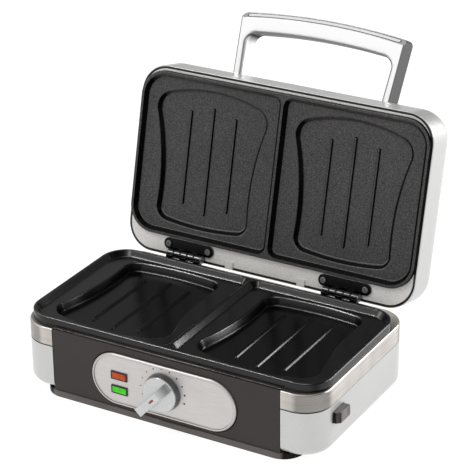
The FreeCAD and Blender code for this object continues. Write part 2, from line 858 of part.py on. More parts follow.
def make_plate(label, rim_height, land, recess, placement):
    # built face up with its rim in the plane Z = 0
    body = new_body(label)
    outline = sketch_on(body, "XY")
    rounded_rectangle(outline, s.plate_width, s.plate_depth, plate_corner, 0, plate_y)
    pad(body, outline, rim_height, reverse=True)
    soften(body, in_plane("Z", 0), s.rim_edge_radius)
    under = sketch_on(body, "XY", -s.parting_gap)
    rounded_rectangle(under, plate_body_width, plate_body_depth, plate_body_corner, 0, plate_y)
    pad(body, under, land + s.plate_thickness - s.parting_gap, reverse=True)
    pans = sketch_on(body, "XY", -s.parting_gap)
    for x in (-recess_offset, recess_offset):
        toast_outline(pans, x, s.plate_thickness)
    pad(body, pans, land + recess + s.plate_thickness - s.parting_gap, reverse=True)
    lands = sketch_on(body, "XY")
    land_width = (s.plate_width - 2 * s.rim_top_width - s.divider_width) / 2
    land_depth = s.plate_depth - 2 * s.rim_top_width
    for way in (-1, 1):
        x = (s.divider_width + land_width) / 2 * way
        outer = plate_corner - s.rim_top_width
        corners = (outer, s.land_corner) if way < 0 else (s.land_corner, outer)
        rounded_rectangle(lands, land_width, land_depth, corners, x, plate_y)
    pocket(body, lands, land, draft=-s.land_draft)
    floor = -(land + recess)
    for x in (-recess_offset, recess_offset):
        mouth = sketch_on(body, "XY", -land)
        toast_outline(mouth, x, sized(0))
        base = sketch_on(body, "XY", floor)
        toast_outline(base, x, -s.recess_slope)
        loft_cut(body, mouth, base)
    soften(body, in_plane("Z", -land), s.recess_edge)
    soften(body, in_plane("Z", floor), s.recess_floor_edge)
    ribs = sketch_on(body, "XY", floor)
    for centre in (-recess_offset, recess_offset):
        for way in (-1, 0, 1):
            rib_front = front + (s.side_rib_front if way else s.middle_rib_front)
            rib_back = plate_rear - (s.side_rib_to_rear if way else s.middle_rib_to_rear)
            middle = (rib_front + rib_back) / 2
            stadium(ribs, rib_back - rib_front, s.rib_width, centre + way * s.rib_pitch, middle, upright=True)
    pad(body, ribs, s.rib_height, draft=-s.rib_draft)
    crest = floor + s.rib_height
    soften(body, in_plane("Z", crest), s.rib_width / 4)
    return sub_part(body, placement)


# Heaters and the pans that carry them

def make_heater(label, level, placement):
    # one bent tube that goes round under both recesses, with its two tails at the back
    body = new_body(label)
    path = sketch_on(body, "XY", level)
    half_width = s.plate_width / 2 - s.heater_inset
    half_depth = s.plate_depth / 2 - s.heater_inset
    bend = s.heater_bend
    low, high = plate_y - half_depth, plate_y + half_depth
    tail = s.heater_tail_gap / 2
    first = path.GeometryCount
    lines = [
        ((-tail, high), (-half_width + bend, high)),
        ((-half_width, high - bend), (-half_width, low + bend)),
        ((-half_width + bend, low), (half_width - bend, low)),
        ((half_width, low + bend), (half_width, high - bend)),
        ((half_width - bend, high), (tail, high)),
    ]
    centres = [
        (-half_width + bend, high - bend),
        (-half_width + bend, low + bend),
        (half_width - bend, low + bend),
        (half_width - bend, high - bend),
    ]
    for start, end in lines:
        path.addGeometry(Part.LineSegment(vector(*start), vector(*end)))
    for i, centre in enumerate(centres):
        ring = Part.Circle(vector(*centre), Vector(0, 0, 1), bend.number)
        path.addGeometry(Part.ArcOfCircle(ring, math.pi / 2 * (i + 1), math.pi / 2 * (i + 2)))
    arcs = first + len(lines)
    locate(path, first, 1, *lines[0][0])
    locate(path, first + 4, 2, *lines[4][1])
    for i, centre in enumerate(centres):
        locate(path, arcs + i, 3, *centre)
        dimension(path, "Radius", (arcs + i,), bend)
        path.addConstraint(Sketcher.Constraint("Tangent", first + i, 2, arcs + i, 1))
        path.addConstraint(Sketcher.Constraint("Tangent", arcs + i, 2, first + i + 1, 1))
    section = sketch_on(body, "YZ", -tail)
    circle(section, s.heater_diameter, high, level)
    doc.recompute()
    tube = body.newObject("PartDesign::AdditivePipe", "%s_pipe" % label)
    tube.Profile = section
    tube.Spine = (path, ["Edge%d" % (i + 1) for i in range(len(lines) + len(centres))])
    doc.recompute()
    return sub_part(body, placement)


def make_lower_reflector():
    # pressed pan with an out-turned lip that hangs under the top frame's flange
    body = new_body("lower_reflector")
    pan_shell(body, flange_under, lower_heater - s.heater_diameter / 2, downward=True)
    lip = sketch_on(body, "XY", flange_under)
    grow = s.plate_body_fit + s.reflector_lip
    rounded_rectangle(
        lip, plate_body_width + 2 * grow, plate_body_depth + 2 * grow, plate_body_corner + grow, 0, plate_y)
    pad(body, lip, s.sheet_steel, reverse=True)
    bowl_opening(body, flange_under, flange_under - lower_heater + s.heater_diameter / 2, downward=True)
    return sub_part(body)


def pan_shell(body, mouth, floor, downward):
    # the outside of a pan that takes the plate's body; its floor is at the end away from the mouth
    outline = sketch_on(body, "XY", mouth)
    grow = s.plate_body_fit + s.sheet_steel
    rounded_rectangle(
        outline, plate_body_width + 2 * grow, plate_body_depth + 2 * grow, plate_body_corner + grow, 0, plate_y)
    tall = mouth - floor if downward else floor - mouth
    pad(body, outline, tall + s.sheet_steel, reverse=downward)


def bowl_opening(body, mouth, tall, downward):
    inside = sketch_on(body, "XY", mouth)
    fit = s.plate_body_fit
    rounded_rectangle(
        inside, plate_body_width + 2 * fit, plate_body_depth + 2 * fit, plate_body_corner + fit, 0, plate_y)
    pocket(body, inside, tall, reverse=not downward)


# Hinges

knuckle_length = (s.hinge_width - 4 * s.knuckle_gap) / 5
knuckle_pitch = knuckle_length + s.knuckle_gap
base_leaf_screws = [
    (way * (hinge_spacing / 2) + tilt * (s.hinge_width / 4), ear_y)
    for way in (-1, 1)
    for tilt in (-1, 1)
]
lid_leaf_screws = [
    (way * (hinge_spacing / 2) + tilt * (s.ear_spacing / 2), ear_y)
    for way in (-1, 1)
    for tilt in (-1, 1)
]


def make_hinge(name, way):
    centre = way * (hinge_spacing / 2)
    reach = hinge_y - s.knuckle_radius - s.knuckle_gap

    def barrel(body, order):
        for i in order:
            x = centre + (i - 2) * knuckle_pitch - knuckle_length / 2
            end = sketch_on(body, "YZ", x)
            circle(end, 2 * s.knuckle_radius, hinge_y, s.hinge_height)
            pad(body, end, knuckle_length)

    def knuckle_end(edge):
        curve = edge.Curve
        return isinstance(curve, Part.Circle) and abs(curve.Radius - s.knuckle_radius.number) < 1e-3

    def bore(body):
        hole = sketch_on(body, "YZ", centre + s.hinge_width)
        circle(hole, 2 * (s.pin_radius + s.pin_fit), hinge_y, s.hinge_height)
        pocket(body, hole, 2 * s.hinge_width)

    base_leaf = new_body("hinge_base_leaf_" + name)
    plate = sketch_on(base_leaf, "XY", band_top)
    deep = reach - leaf_front
    rectangle(plate, s.hinge_width, deep, centre, leaf_front + deep / 2)
    pad(base_leaf, plate, s.leaf_thickness)
    webs = sketch_on(base_leaf, "XY", band_top)
    back = hinge_y - reach + s.knuckle_gap
    for i in (0, 2, 4):
        rectangle(webs, knuckle_length, back, centre + (i - 2) * knuckle_pitch, hinge_y - back / 2)
    pad(base_leaf, webs, s.hinge_height - band_top)
    barrel(base_leaf, (0, 2, 4))
    soften(base_leaf, knuckle_end, s.knuckle_edge)
    bore(base_leaf)
    screws = base_leaf_screws[:2] if way < 0 else base_leaf_screws[2:]
    screw_holes(base_leaf, screws, band_top + 2 * s.leaf_thickness, 3 * s.leaf_thickness)
    sub_part(base_leaf)

    lid_leaf = new_body("hinge_lid_leaf_" + name)
    level = s.lid_rim_height
    plate = sketch_on(lid_leaf, "XY", level)
    deep = hinge_y + s.knuckle_radius - leaf_front
    rectangle(plate, s.hinge_width, deep, centre, leaf_front + deep / 2)
    pad(lid_leaf, plate, s.leaf_thickness, reverse=True)
    ears = sketch_on(lid_leaf, "XY", level)
    stadium(ears, s.ear_spacing + s.ear_width, s.ear_width, centre, ear_y)
    pad(lid_leaf, ears, s.leaf_thickness, reverse=True)
    arms = sketch_on(lid_leaf, "XY", level)
    for i in (1, 3):
        rectangle(arms, knuckle_length, 2 * s.knuckle_radius, centre + (i - 2) * knuckle_pitch, hinge_y)
    pad(lid_leaf, arms, level - s.hinge_height, reverse=True)
    barrel(lid_leaf, (1, 3))
    soften(lid_leaf, knuckle_end, s.knuckle_edge)
    bore(lid_leaf)
    screws = lid_leaf_screws[:2] if way < 0 else lid_leaf_screws[2:]
    screw_holes(lid_leaf, screws, level + s.overcut, s.leaf_thickness + 2 * s.overcut)
    sub_part(lid_leaf, lid_open)

    pin = new_body("hinge_pin_" + name)
    shank = sketch_on(pin, "YZ", centre - s.hinge_width / 2 - s.pin_head)
    circle(shank, 2 * s.pin_radius, hinge_y, s.hinge_height)
    pad(pin, shank, s.hinge_width + 2 * s.pin_head)
    head = sketch_on(pin, "YZ", centre + s.hinge_width / 2)
    circle(head, 2 * s.knuckle_radius, hinge_y, s.hinge_height)
    pad(pin, head, s.pin_head)
    soften(pin, in_plane("X", centre + s.hinge_width / 2 + s.pin_head), s.pin_head / 2)
    sub_part(pin)


# Release buttons, each in a guide behind its wall

button_y = front + s.corner_radius + s.button_setback + s.button_length / 2
guide_height = s.button_height + 2 * (s.button_flange + s.fit_gap + s.button_guide_wall)
# the lid's guide stands on the bowl, clear of the rounded wall above it
lid_button_height = bowl_floor + s.sheet_steel + s.fit_gap + guide_height / 2
lid_round_start = lid_top - s.lid_top_radius


def wall_setback(height):
    # how far the lid's rounded inner wall stands in at a height
    radius = (s.lid_top_radius - s.shell_wall).number
    above = max(0.0, (height - lid_round_start).number)
    return radius - math.sqrt(max(0.0, radius ** 2 - above ** 2))


def make_button(name, level, placement):
    # the base's button is on the right-hand side and the lid's on the left
    way = 1 if name == "base" else -1
    wall_face = way * side
    setback = 0.0 if name == "base" else wall_setback(level + guide_height / 2)
    inner_face = way * (side - s.shell_wall - s.fit_gap - setback)
    button = new_body(name + "_release_button")
    cap = sketch_on(button, "XY", level - s.button_height / 2)
    half = s.button_length / 2
    root = inner_face - way * s.button_flange_thickness
    crown = wall_face + way * s.button_proud
    slope = wall_face + way * (s.button_proud - s.button_slant)
    corners = [
        (root, button_y - half),
        (slope, button_y - half),
        (crown, button_y - half + s.button_slant),
        (crown, button_y + half),
        (root, button_y + half),
    ]
    polygon(cap, corners if way > 0 else corners[::-1])
    pad(button, cap, s.button_height)
    ends = in_plane("X", crown)
    top = in_plane("Z", level + s.button_height / 2)
    bottom = in_plane("Z", level - s.button_height / 2)
    hidden = in_plane("X", root)
    soften(button, lambda edge: ends(edge) or (top(edge) or bottom(edge)) and not hidden(edge), s.button_edge)
    flange = sketch_on(button, "YZ", inner_face)
    grow = 2 * s.button_flange
    rectangle(flange, s.button_length + grow, s.button_height + grow, button_y, level)
    pad(button, flange, s.button_flange_thickness, reverse=way > 0)
    sub_part(button, placement)

    guide = new_body(name + "_button_guide")
    wall = s.button_guide_wall
    depth = s.button_flange_thickness + s.button_travel + 2 * s.fit_gap
    case = sketch_on(guide, "YZ", inner_face)
    room = grow + 2 * s.fit_gap
    rectangle(case, s.button_length + room + 2 * wall, guide_height, button_y, level)
    pad(guide, case, depth + wall, reverse=way > 0)
    hollow = sketch_on(guide, "YZ", inner_face)
    rectangle(hollow, s.button_length + room, s.button_height + room, button_y, level)
    pocket(guide, hollow, depth, reverse=way < 0)
    sub_part(guide, placement)


# Mains inlet and the terminal block inside

def make_inlet():
    gland = new_body("cord_gland")
    flange = sketch_on(gland, "XZ", rear)
    circle(flange, s.gland_flange, gland_x, s.gland_height)
    pad(gland, flange, s.gland_flange_thickness, reverse=True)
    soften(gland, in_plane("Y", rear + s.gland_flange_thickness), s.gland_flange_thickness / 2)
    neck = sketch_on(gland, "XZ", rear)
    circle(neck, s.gland_body, gland_x, s.gland_height)
    pad(gland, neck, s.gland_length)
    bore = sketch_on(gland, "XZ", rear - 2 * s.gland_length)
    circle(bore, s.gland_bore, gland_x, s.gland_height)
    pocket(gland, bore, 4 * s.gland_length)
    sub_part(gland)

    block = new_body("terminal_block")
    outline = sketch_on(block, "XY", s.tray_height)
    back = rear - s.shell_flange - s.terminal_depth
    rectangle(outline, s.terminal_length, s.terminal_depth, gland_x - s.terminal_length, back)
    pad(block, outline, s.terminal_height)
    wells = sketch_on(block, "XY", s.tray_height + s.terminal_height)
    for i in (-1, 0, 1):
        x = gland_x - s.terminal_length + i * (s.terminal_length / 3)
        circle(wells, s.terminal_well, x, back)
    pocket(block, wells, s.terminal_height / 2)
    sub_part(block)


# Lid

def lid_dome(label, inset, low):
    body = new_body(label)
    outline = sketch_on(body, "XY", low)
    inset = sized(inset)
    corner = s.corner_radius - inset
    rounded_rectangle(outline, base_width - 2 * inset, lid_depth - 2 * inset, corner, 0, lid_y)
    top = lid_top - inset
    pad(body, outline, top - low)
    soften(body, in_plane("Z", top), s.lid_top_radius - inset)
    return body


def box_body(label, plane, level, rectangle_size, centre, length, reverse=False):
    body = new_body(label)
    outline = sketch_on(body, plane, level)
    rectangle(outline, *rectangle_size, *centre)
    pad(body, outline, length, reverse=reverse)
    return body


handle_foot_x = (s.handle_foot_width - s.handle_leg) / 2
handle_screws = [(way * handle_foot_x, front + s.handle_screw_back) for way in (-1, 1)]


def make_lid_shell():
    envelope = lid_dome("lid_envelope", 0, s.lid_rim_height)
    soften(envelope, in_plane("Z", s.lid_rim_height), s.lid_rim_edge)
    cavity = lid_dome("lid_cavity", s.shell_wall, s.lid_rim_height - s.overcut)
    hollow = cut("lid_hollow", envelope, cavity)
    gap = 2 * s.fit_gap
    window = box_body(
        "lid_button_window", "YZ", -side - s.overcut,
        (s.button_length + gap, s.button_height + gap), (button_y, lid_button_height),
        s.lid_top_radius)
    open_side = cut("lid_open_side", hollow, window)
    holes = new_body("handle_screw_holes")
    spots = sketch_on(holes, "XY", lid_top - 2 * s.shell_wall)
    for x, y in handle_screws:
        circle(spots, s.screw_shank + 2 * s.screw_fit, x, y)
    pad(holes, spots, 3 * s.shell_wall)
    shell = cut("lid_shell", open_side, holes)
    sub_part(shell, lid_open)
    return envelope


def make_lid_pan():
    # pressed steel pan: a flat flange that closes the lid, and a bowl for the heater and the plate
    body = new_body("lid_inner_pan")
    inset = s.shell_wall + s.fit_gap
    level = s.lid_rim_height
    flange = sketch_on(body, "XY", level)
    rounded_rectangle(
        flange, base_width - 2 * inset, lid_depth - 2 * inset, s.corner_radius - inset, 0, lid_y)
    pad(body, flange, s.sheet_steel)
    tabs = sketch_on(body, "XY", level)
    tab_back = rear + s.lid_rear_overhang - s.lid_rim_edge
    for way in (-1, 1):
        rectangle(tabs, s.pan_tab_width, s.pan_tab_length, way * s.pan_tab_offset, tab_back - s.pan_tab_length / 2)
    pad(body, tabs, s.sheet_steel, reverse=True)
    pan_shell(body, level, bowl_floor, downward=False)
    bowl_opening(body, level, bowl_floor - level, downward=False)
    screw_holes(body, lid_leaf_screws, level + s.sheet_steel + s.overcut, s.sheet_steel + 2 * s.overcut)
    sub_part(body, lid_open)


def ring_body(label, placement, corners, half_angle):
    # a section in the plane X = 0, turned about the Z axis by the same angle to each side
    body = new_body(label)
    section = sketch_on(body, "YZ")
    polygon(section, corners)
    ring = body.newObject("PartDesign::Revolution", "%s_turn" % label)
    ring.Profile = section
    ring.ReferenceAxis = (section, ["V_Axis"])
    ring.Midplane = True
    bind(ring, "Angle", half_angle * 2)
    body.Placement = placement
    doc.recompute()
    return body


def make_handle(envelope):
    # The loop's lower face lies in a plane that rises towards the front.
    # It is built in that plane, and its feet are cut to the lid's top.
    rise = math.degrees(math.asin(s.handle_rise.number / s.handle_reach.number))
    hip = Vector(0, front.number, (lid_top + s.handle_lift).number)
    tilt = Placement(hip, Rotation(Vector(1, 0, 0), -rise))
    outer = s.handle_width / 2
    foot = s.handle_foot_width / 2
    leg = s.handle_leg
    reach, bar = s.handle_reach, s.handle_bar
    back = s.handle_foot_back

    blank = new_body("handle_blank")
    loop = sketch_on(blank, "XY")
    corners = [
        (-outer, -reach),
        (outer, -reach),
        (foot, back),
        (foot - leg, back),
        (outer - leg, bar - reach),
        (leg - outer, bar - reach),
        (leg - foot, back),
        (-foot, back),
    ]
    bow = arc_radius(outer, s.handle_bulge)
    radii = [bow, 0, 0, 0, -(bow - bar), 0, 0, 0]
    arc_chain(loop, corners, radii)
    pad(blank, loop, s.handle_height)
    top = s.handle_height.number
    inner_half = (outer - leg).number + 1e-3
    inner_bar = (bar - reach).number
    inner_front = inner_bar - s.handle_bulge.number - 1e-3

    def upright(edge):
        box = edge.BoundBox
        return abs(box.ZLength - top) < 1e-3 and box.XLength < 1e-3

    def bar_corner(edge):
        box = edge.BoundBox
        return upright(edge) and abs(box.XMin) > inner_half and box.YMin < inner_bar

    def level_edge(edge, level):
        box = edge.BoundBox
        return abs(box.ZMin - level) < 1e-3 and box.ZLength < 1e-3 and box.YMin < back.number - 1e-3

    def inner_edge(edge):
        # the loop's inner edge on the side that faces the plates, where the fingers go
        box = edge.BoundBox
        inside = max(abs(box.XMin), abs(box.XMax)) < inner_half and box.YMin > inner_front
        return inside and level_edge(edge, 0)

    def outer_edge(edge):
        return level_edge(edge, top) or (level_edge(edge, 0) and not inner_edge(edge))

    foot_top = in_plane("Z", s.handle_height)
    foot_end = in_plane("Y", back)
    soften(blank, lambda edge: foot_top(edge) and foot_end(edge), s.handle_foot_round)
    soften(blank, bar_corner, s.handle_corner)
    soften(blank, lambda edge: upright(edge) and abs(edge.BoundBox.YMin - inner_bar) < 1e-3,
           s.handle_inner_corner)
    soften(blank, inner_edge, s.handle_inner_edge)
    soften(blank, outer_edge, s.handle_edge)
    blank.Placement = tilt

    # the bevel along the bar, and the groove in it for the trim, are rings about the bow's centre
    face = bow - s.handle_bevel
    centre = tilt * Placement(Vector(0, (bow - reach - s.handle_bulge).number, 0), Rotation())
    clear = 2 * s.handle_bevel
    turn = math.degrees(math.asin(s.handle_width.number / 2 / bow.number))
    wedge = [
        (-face, sized(0)),
        (-face, -clear),
        (-bow - clear, -clear),
        (-bow - clear, s.handle_bevel + clear),
    ]
    bevel = ring_body("handle_bevel_tool", centre, wedge, sized(2 * turn))
    bevelled = cut("handle_bevelled", blank, bevel)
    slant = math.sqrt(0.5)
    middle = (-bow + s.handle_bevel / 2, s.handle_bevel / 2)

    def trim_ring(label, gap):
        # a strip along the bevel, let in by the trim's depth; gap makes it wider all round
        half_trim = s.trim_width / 2 + gap
        half_length = s.handle_width / 2 - s.trim_end_inset + gap
        half_turn = Size(
            math.degrees(math.asin(half_length.number / bow.number)),
            "asin(%s / %s)" % (half_length.formula, bow.formula))

        def spot(along, depth):
            step, sink = along * slant, depth * slant
            return (middle[0] - step + sink, middle[1] + step + sink)

        strip = [
            spot(-half_trim, sized(0)),
            spot(half_trim, sized(0)),
            spot(half_trim, s.trim_depth),
            spot(-half_trim, s.trim_depth),
        ]
        body = ring_body(label, centre, strip, half_turn)
        thick = s.trim_depth.number
        soften(body, lambda edge: abs(edge.Length - thick) < 1e-3, half_trim * 0.98)
        return body

    groove = trim_ring("handle_groove", s.trim_gap)
    grooved = cut("handle_grooved", bevelled, groove)
    seated = cut("handle_seated", grooved, envelope)
    holes = new_body("handle_holes")
    spots = sketch_on(holes, "XY", lid_top - s.overcut)
    for x, y in handle_screws:
        circle(spots, s.screw_shank + 2 * s.screw_fit, x, y)
    pad(holes, spots, s.screw_length)
    sub_part(cut("handle", seated, holes), lid_open)
    trim = trim_ring("handle_trim", sized(0))
    sub_part(trim, lid_open * centre)


# Assembly

make_bottom_tray()
screw_set("bottom_screws", tray_screws, s.tray_height - s.tray_floor, point_up=True)
make_base_shell()
make_top_frame()
make_front_panel()
make_control_plate()
make_lamps()
make_regulator()
make_knob()

lower_rim = s.parting_height - band_top
upper_rim = s.lid_rim_height - upper_parting
face_up = Placement(Vector(0, 0, s.parting_height.number), Rotation())
face_down = Placement(Vector(0, 0, upper_parting.number), Rotation(Vector(0, 1, 0), 180))
make_plate("lower_plate", lower_rim, s.lower_land_depth, s.lower_recess_depth, face_up)
make_plate("upper_plate", upper_rim, s.upper_land_depth, s.upper_recess_depth, lid_open * face_down)

make_heater("lower_heating_element", lower_heater, Placement())
make_heater("upper_heating_element", upper_heater, lid_open)
make_lower_reflector()

for hinge_name, hinge_way in (("left", -1), ("right", 1)):
    make_hinge(hinge_name, hinge_way)
screw_set("hinge_base_screws", base_leaf_screws, band_top + s.leaf_thickness, point_up=False)
screw_set(
    "hinge_lid_screws", lid_leaf_screws, s.lid_rim_height - s.leaf_thickness, point_up=True,
    placement=lid_open)

make_button("base", s.button_centre_height, Placement())
make_button("lid", lid_button_height, lid_open)
make_inlet()

lid_envelope = make_lid_shell()
make_lid_pan()
make_handle(lid_envelope)
screw_set("handle_screws", handle_screws, lid_top - s.shell_wall, point_up=True, placement=lid_open)

doc.recompute()
for item in doc.Objects:
    if "Invalid" in item.State or "Error" in item.State:
        raise RuntimeError("%s failed: %s" % (item.Name, item.State))
os.makedirs("parts", exist_ok=True)
for item in parts:
    shape = item.Shape
    if shape.isNull() or not shape.isValid():
        raise RuntimeError("%s has no valid shape" % item.Label)
    shape.exportStep("parts/%s.step" % item.Label)
print("%d sub-parts written" % len(parts))
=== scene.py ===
import json
import math
import bmesh
import bpy
from mathutils import Matrix, Vector


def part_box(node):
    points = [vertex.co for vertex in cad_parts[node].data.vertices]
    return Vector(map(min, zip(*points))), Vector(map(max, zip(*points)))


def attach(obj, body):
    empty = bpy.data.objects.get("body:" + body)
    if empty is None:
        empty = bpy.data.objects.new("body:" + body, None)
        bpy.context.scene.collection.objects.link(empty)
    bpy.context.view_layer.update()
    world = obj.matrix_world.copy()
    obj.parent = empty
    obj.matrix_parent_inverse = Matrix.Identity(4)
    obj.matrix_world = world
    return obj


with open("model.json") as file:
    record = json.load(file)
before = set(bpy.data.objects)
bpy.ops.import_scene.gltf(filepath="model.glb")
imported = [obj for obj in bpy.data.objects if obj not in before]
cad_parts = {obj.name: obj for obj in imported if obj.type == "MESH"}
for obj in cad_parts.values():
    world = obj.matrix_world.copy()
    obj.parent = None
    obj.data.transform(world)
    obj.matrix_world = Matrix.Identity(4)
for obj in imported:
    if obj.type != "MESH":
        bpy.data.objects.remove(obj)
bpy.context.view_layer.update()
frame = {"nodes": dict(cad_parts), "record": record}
cad = frame["nodes"]
mm = 0.001
print("frame loaded: %d CAD nodes" % len(cad))


def linear(hexCode):
    channels = [int(hexCode[i:i + 2], 16) / 255 for i in (1, 3, 5)]
    return [c / 12.92 if c <= 0.04045 else ((c + 0.055) / 1.055) ** 2.4 for c in channels] + [1.0]


def addNode(tree, kind, settings=None, links=None):
    node = tree.nodes.new(kind)
    for name, value in (settings or {}).items():
        if isinstance(name, int) or name in node.inputs:
            node.inputs[name].default_value = value
        else:
            setattr(node, name, value)
    for name, source in (links or {}).items():
        tree.links.new(source, node.inputs[name])
    return node


# What all finishes share.
recipe = {
    "noiseLow": 0.3, "noiseHigh": 0.7,  # the part of a noise's range that is used
    "grainDetail": 2.0, "cloudDetail": 1.0, "fleckDetail": 1.0, "fleckSoft": 0.06,
    "cloud": 60, "cloudAmount": 0.08,  # this row and the next hold unless a finish has its own
    "roughnessSpread": 0.05, "reliefDepth": 0.05,
    "specular": 0.5,  # full specular level, which a tint lowers or raises
    "lineCore": 0.55,  # share of a drawn line's half width that has its full tint
    "faintFrom": 0.5, "faintTo": 0.95, "faintest": 0.7,  # where a line turns faint, and its tone there
    # where painted shade sets in along edges and in gaps, and the darkest tone it reaches
    "rimFrom": 0.9, "rimTo": 0.99, "gapShadeFrom": 0.35, "gapShadeTo": 0.75, "shadeTone": 0.06,
    "edgeSamples": 4, "seamSamples": 8,
}


# One recipe for every finish: two tones mixed by a grain, a slow cloud over them, optional flecks,
# painted light and shade, roughness and relief from the same grain, and the tiny edge rounding that
# moulding and pressing leave. Sizes are in mm. Real flake, grit, tooth and brush lines are finer, and are
# drawn this coarse to show. Painted shade and painted highlights go by the way a face looks (facing), by its
# place, or by the product of both (outward). Each sets in between two values, or is drawn as a line at one
# value. Painted shade also darkens the colour near an edge (rim) and near another surface (gapShade).
def finish(name, look):
    material = bpy.data.materials.new(name)
    material.use_nodes = True
    tree = material.node_tree
    shader = tree.nodes["Principled BSDF"]
    coordinates = addNode(tree, "ShaderNodeTexCoord")
    place = coordinates.outputs["Object"]
    facing = coordinates.outputs["Normal"]
    noiseRange = {"From Min": recipe["noiseLow"], "From Max": recipe["noiseHigh"]}

    grainScale = [s / (look["grain"] * mm) for s in look.get("stretch", (1, 1, 1))]
    run = addNode(tree, "ShaderNodeMapping", {"Scale": grainScale}, {"Vector": place}).outputs["Vector"]
    grain = addNode(tree, "ShaderNodeTexNoise", {"Scale": 1.0, "Detail": recipe["grainDetail"]},
                    {"Vector": run}).outputs["Fac"]
    spread = addNode(tree, "ShaderNodeMapRange", noiseRange, {"Value": grain}).outputs["Result"]
    tone = addNode(tree, "ShaderNodeMix",
                   {"data_type": "RGBA", 6: linear(look["dark"]), 7: linear(look["light"])},
                   {0: spread}).outputs[2]

    cloudSize = look.get("cloud", recipe["cloud"]) * mm
    cloudScale = [s / cloudSize for s in look.get("cloudStretch", (1, 1, 1))]
    drift = addNode(tree, "ShaderNodeMapping", {"Scale": cloudScale}, {"Vector": place}).outputs["Vector"]
    cloud = addNode(tree, "ShaderNodeTexNoise", {"Scale": 1.0, "Detail": recipe["cloudDetail"]},
                    {"Vector": drift}).outputs["Fac"]
    amount = look.get("cloudAmount", recipe["cloudAmount"])
    shade = addNode(tree, "ShaderNodeMapRange", {**noiseRange, "To Min": 1 - amount, "To Max": 1 + amount},
                    {"Value": cloud}).outputs["Result"]
    tone = addNode(tree, "ShaderNodeMix", {"data_type": "RGBA", "blend_type": "MULTIPLY", 0: 1.0},
                   {6: tone, 7: shade}).outputs[2]

    if "fleck" in look:
        spots = addNode(tree, "ShaderNodeTexNoise",
                        {"Scale": 1 / (look["fleckSize"] * mm), "Detail": recipe["fleckDetail"]},
                        {"Vector": place}).outputs["Fac"]
        spots = addNode(tree, "ShaderNodeMapRange",
                        {"From Min": look["fleckFrom"], "From Max": look["fleckFrom"] + recipe["fleckSoft"]},
                        {"Value": spots}).outputs["Result"]
        tone = addNode(tree, "ShaderNodeMix", {"data_type": "RGBA", 7: linear(look["fleck"])},
                       {0: spots, 6: tone}).outputs[2]

    covers = []
    for tint in look.get("paintedShading", []):
        source = place if tint["by"] == "place" else facing
        if tint["by"] == "outward":
            source = addNode(tree, "ShaderNodeVectorMath", {"operation": "MULTIPLY"},
                             {0: facing, 1: place}).outputs["Vector"]
        value = addNode(tree, "ShaderNodeVectorMath", {"operation": "DOT_PRODUCT", 1: tint["way"]},
                        {0: source}).outputs["Value"]
        if "at" in tint:  # a line: how far the value is off, and the tint sets in from its half width
            value = addNode(tree, "ShaderNodeMath", {"operation": "SUBTRACT", 1: tint["at"]},
                            {0: value}).outputs["Value"]
            value = addNode(tree, "ShaderNodeMath", {"operation": "ABSOLUTE"}, {0: value}).outputs["Value"]
            start = tint["half"]
            stop = tint["half"] * recipe["lineCore"]
        else:
            start = tint["from"]
            stop = tint["to"]
        cover = addNode(tree, "ShaderNodeMapRange",
                        {"From Min": start, "From Max": stop, "To Min": 1.0, "To Max": tint["tone"]},
                        {"Value": value}).outputs["Result"]
        if "faint" in tint:  # fainter on the faces that look this way or the other
            side = addNode(tree, "ShaderNodeVectorMath", {"operation": "DOT_PRODUCT", 1: tint["faint"]},
                           {0: facing}).outputs["Value"]
            side = addNode(tree, "ShaderNodeMath", {"operation": "ABSOLUTE"}, {0: side}).outputs["Value"]
            least = addNode(tree, "ShaderNodeMapRange",
                            {"From Min": recipe["faintFrom"], "From Max": recipe["faintTo"],
                             "To Max": recipe["faintest"]}, {"Value": side}).outputs["Result"]
            cover = addNode(tree, "ShaderNodeMath", {"operation": "MAXIMUM"},
                            {0: cover, 1: least}).outputs["Value"]
        covers.append(cover)
    # painted shade: a dark line where the surface turns within this distance
    if "rim" in look:  # dark where the surface turns within this distance
        flat = addNode(tree, "ShaderNodeNewGeometry").outputs["Normal"]
        turned = addNode(tree, "ShaderNodeBevel",
                         {"samples": recipe["seamSamples"], "Radius": look["rim"] * mm}).outputs["Normal"]
        bend = addNode(tree, "ShaderNodeVectorMath", {"operation": "DOT_PRODUCT"},
                       {0: flat, 1: turned}).outputs["Value"]
        covers.append(addNode(tree, "ShaderNodeMapRange",
                              {"From Min": recipe["rimFrom"], "From Max": recipe["rimTo"],
                               "To Min": recipe["shadeTone"]}, {"Value": bend}).outputs["Result"])
    # painted shade in gaps: dark where another surface is within this distance
    if "gapShade" in look:  # dark where another surface is within this distance
        gap = addNode(tree, "ShaderNodeAmbientOcclusion",
                      {"samples": recipe["seamSamples"], "Distance": look["gapShade"] * mm}).outputs["AO"]
        covers.append(addNode(tree, "ShaderNodeMapRange",
                              {"From Min": recipe["gapShadeFrom"], "From Max": recipe["gapShadeTo"],
                               "To Min": recipe["shadeTone"]}, {"Value": gap}).outputs["Result"])
    # painted light and shade scale both the colour and the specular level
    if covers:
        cover = covers[0]
        for other in covers[1:]:
            cover = addNode(tree, "ShaderNodeMath", {"operation": "MULTIPLY"},
                            {0: cover, 1: other}).outputs["Value"]
        tone = addNode(tree, "ShaderNodeMix", {"data_type": "RGBA", "blend_type": "MULTIPLY", 0: 1.0},
                       {6: tone, 7: cover}).outputs[2]
        shine = addNode(tree, "ShaderNodeMath", {"operation": "MULTIPLY", 1: recipe["specular"]},
                        {0: cover}).outputs["Value"]
        tree.links.new(shine, shader.inputs["Specular IOR Level"])
    tree.links.new(tone, shader.inputs["Base Color"])

